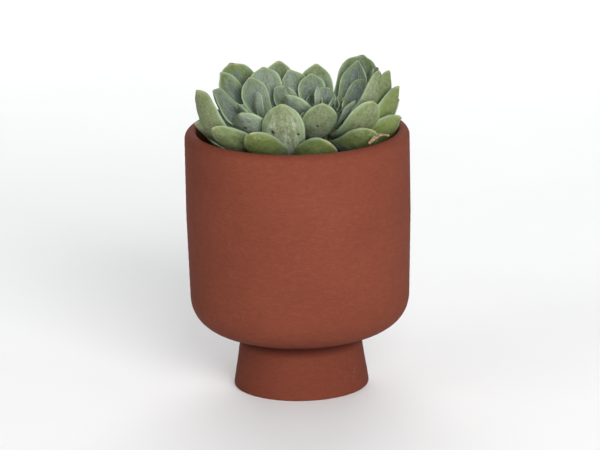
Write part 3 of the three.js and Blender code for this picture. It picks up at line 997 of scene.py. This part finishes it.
def make_heart(rosette, placed, skin_finish):
    """The growing point: its youngest leaves, still folded over each other."""
    start = ROSETTES[rosette][2]
    skins = []
    for order in range(HEART_LEAVES):
        growth = HEART_GROWTH * order
        heading = start + HEART_TURN * order
        height = HEART_HEIGHT - growth * HEART_DROOP
        entry = (heading, HEART_REACH + growth, height, HEART_WIDTH + growth, 0, HEART_BOW)
        leaf = Leaf(rosette, entry, FIRST_LEAF_DROP)
        points, marks = leaf_points(leaf, order + 0.5, placed)
        placed.append(Placed(points, LEAF_FACES, leaf.face))
        skins.append((points, marks, order * 0.13))
    add_leaf_piece(f"{rosette}_heart_leaves", f"{rosette}_heart", skins, HEART_FINISH, skin_finish)


def make_leaves():
    skin_finish = leaf_skin()
    placed = []
    random = np.random.default_rng(7)
    for rosette in ROSETTES:
        make_heart(rosette, placed, skin_finish)
    for order in range(max(len(entries) for entries in LEAVES.values())):
        for rosette, entries in LEAVES.items():
            luck = random.uniform(0, 1)
            if order >= len(entries):
                continue
            age = order / (len(entries) - 1)
            number = f"{rosette}_leaf_{order + 1:02d}"
            drop = FIRST_LEAF_DROP + LEAF_SPACING * order
            leaf = Leaf(rosette, entries[order], drop, SCARS.get(number, ()))
            points, marks = leaf_points(leaf, luck * 10, placed)
            placed.append(Placed(points, LEAF_FACES, leaf.face))
            finish = FINISHES.get(number, (0.2 + 0.3 * luck, 0.5 * age * luck - 0.6 * (1 - age)))
            add_leaf_piece(f"{number}_skin", number, [(points, marks, luck)], finish, skin_finish)


make_leaves()

# --- Dry leaf -------------------------------------------------------------------------------
# An old leaf that has dropped, dried to a tan papery curl and come to rest on the pot's lip.

DRY_BASE = Vector((38, -36.5, 141))
DRY_TIP = Vector((48.5, -24.5, 142))
DRY_WIDTH = 3.0
DRY_HUMP = 2.1
DRY_LIFT = 0.6
DRY_CURL = 0.28
DRY_CREASE = 0.18
DRY_THICKNESS = 0.35
DRY_STATIONS = 48
DRY_SIDES = 28
TAN = (0.522, 0.374, 0.252)
TAN_DARK = (0.313, 0.200, 0.113)


def dried_skin():
    """Tan papery skin, browner in its creases."""
    paper = Surface("dried_skin")
    creases = paper.grain(500, 5, 0.65, (1, 1, 0.5))
    colour = paper.blend(paper.ramp(creases, 0.4, 0.65), TAN_DARK, TAN)
    paper.feed(paper.shader.inputs["Base Color"], colour)
    paper.shader.inputs["Roughness"].default_value = 0.8
    paper.shader.inputs["Specular IOR Level"].default_value = 0.3
    paper.bump(creases, 0.0004)
    return paper.material


def make_dry_leaf():
    chord = (DRY_TIP - DRY_BASE).normalized()
    length = (DRY_TIP - DRY_BASE).length
    side = chord.cross(Vector((0, 0, 1))).normalized()
    points = []
    for row in range(DRY_STATIONS + 1):
        along = row / DRY_STATIONS
        hump = DRY_HUMP * math.sin(math.pi * along)
        centre = DRY_BASE + chord * (length * along) + Vector((0, 0, hump + DRY_LIFT))
        belly = math.sin(math.pi * min(1, 0.15 + along * 0.85)) ** 0.8
        width = DRY_WIDTH / 2 * (0.25 + 0.75 * belly)
        for column in range(DRY_SIDES):
            angle = 2 * math.pi * column / DRY_SIDES
            across, rise = math.cos(angle), math.sin(angle)
            curl = DRY_CURL * width * across * across * (1.5 - along)
            crease = DRY_CREASE * math.sin(across * 9 + along * 6)
            crease += 0.2 * noise.noise((along * 6, across * 2, 1.3))
            lift = curl + crease + rise * DRY_THICKNESS
            points.append(centre + side * (width * across) + Vector((0, 0, lift)))
    faces = tube_faces(DRY_STATIONS + 1, DRY_SIDES)
    raised = Vector((0, 0, DRY_LIFT))
    points += [DRY_BASE + raised, DRY_TIP + raised + chord * DRY_LIFT]
    faces += cap_faces(len(points) - 2, 0, DRY_SIDES, False)
    faces += cap_faces(len(points) - 1, DRY_STATIONS * DRY_SIDES, DRY_SIDES, True)
    new_piece("dry_leaf_curl", points, faces, dried_skin(), "dry_leaf", "dry_leaf")


make_dry_leaf()

# --- Studio ---------------------------------------------------------------------------------
# A pale matte floor, one large soft light in front, weaker ones at the side and behind, one that
# whitens the far floor, and even light all round. The camera looks slightly down at the pot
# through a long lens.

FLOOR_SIZE = 12.0
FLOOR_PALE = (0.92, 0.92, 0.915)
FLOOR_SHADE = (0.906, 0.906, 0.901)
CAMERA_DISTANCE = 3.0
CAMERA_ELEVATION = 15.7
CAMERA_ROLL = 1.09
CAMERA_LENS = 336.4
CAMERA_AIM = Vector((0.0007, 0, 0.0876))
SKY = (0.96, 0.98, 1.0, 1)
SKY_STRENGTH = 0.33
# Name, place, width in metres, power in watts and aim of each light.
LIGHTS = (
    ("key_light", (0.8, -2.5, 1.0), 1.7, 92, CAMERA_AIM),
    ("side_light", (-2.0, -1.2, 1.4), 1.6, 9, CAMERA_AIM),
    ("back_light", (0.2, 2.6, 2.4), 2.0, 14, CAMERA_AIM),
    ("floor_light", (0.0, 3.6, 1.6), 3.0, 145, Vector((0, 3.6, 0))),
)


def make_floor():
    half = FLOOR_SIZE / 2
    mesh = bpy.data.meshes.new("floor")
    corners = [(-half, -half, 0), (half, -half, 0), (half, half, 0), (-half, half, 0)]
    mesh.from_pydata(corners, [], [(0, 1, 2, 3)])
    floor = bpy.data.objects.new("floor", mesh)
    bpy.context.scene.collection.objects.link(floor)
    paper = Surface("floor_paper")
    tone = paper.ramp(paper.grain(6, 2), 0.3, 0.7)
    paper.feed(paper.shader.inputs["Base Color"], paper.blend(tone, FLOOR_PALE, FLOOR_SHADE))
    paper.shader.inputs["Roughness"].default_value = 0.9
    floor.data.materials.append(paper.material)


def make_lights():
    for name, place, width, power, aim in LIGHTS:
        light = bpy.data.lights.new(name, "AREA")
        light.size = width
        light.energy = power
        holder = bpy.data.objects.new(name, light)
        bpy.context.scene.collection.objects.link(holder)
        holder.location = place
        holder.rotation_euler = (aim - Vector(place)).to_track_quat("-Z", "Y").to_euler()
    world = bpy.data.worlds.new("studio")
    world.use_nodes = True
    sky = world.node_tree.nodes["Background"]
    sky.inputs["Color"].default_value = SKY
    sky.inputs["Strength"].default_value = SKY_STRENGTH
    bpy.context.scene.world = world


def make_camera():
    camera = bpy.data.cameras.new("camera")
    camera.lens = CAMERA_LENS
    camera.sensor_width = 36
    camera.clip_end = 50
    holder = bpy.data.objects.new("camera", camera)
    bpy.context.scene.collection.objects.link(holder)
    rise, roll = math.radians(CAMERA_ELEVATION), math.radians(CAMERA_ROLL)
    back = Vector((0, -math.cos(rise), math.sin(rise)))
    right, up = Vector((1, 0, 0)), Vector((0, math.sin(rise), math.cos(rise)))
    across = right * math.cos(roll) - up * math.sin(roll)
    upwards = right * math.sin(roll) + up * math.cos(roll)
    turn = Matrix((across, upwards, back)).transposed().to_4x4()
    holder.matrix_world = Matrix.Translation(CAMERA_AIM + back * CAMERA_DISTANCE) @ turn
    bpy.context.scene.camera = holder


make_floor()
make_lights()
make_camera()
bpy.context.scene.view_settings.view_transform = "Standard"
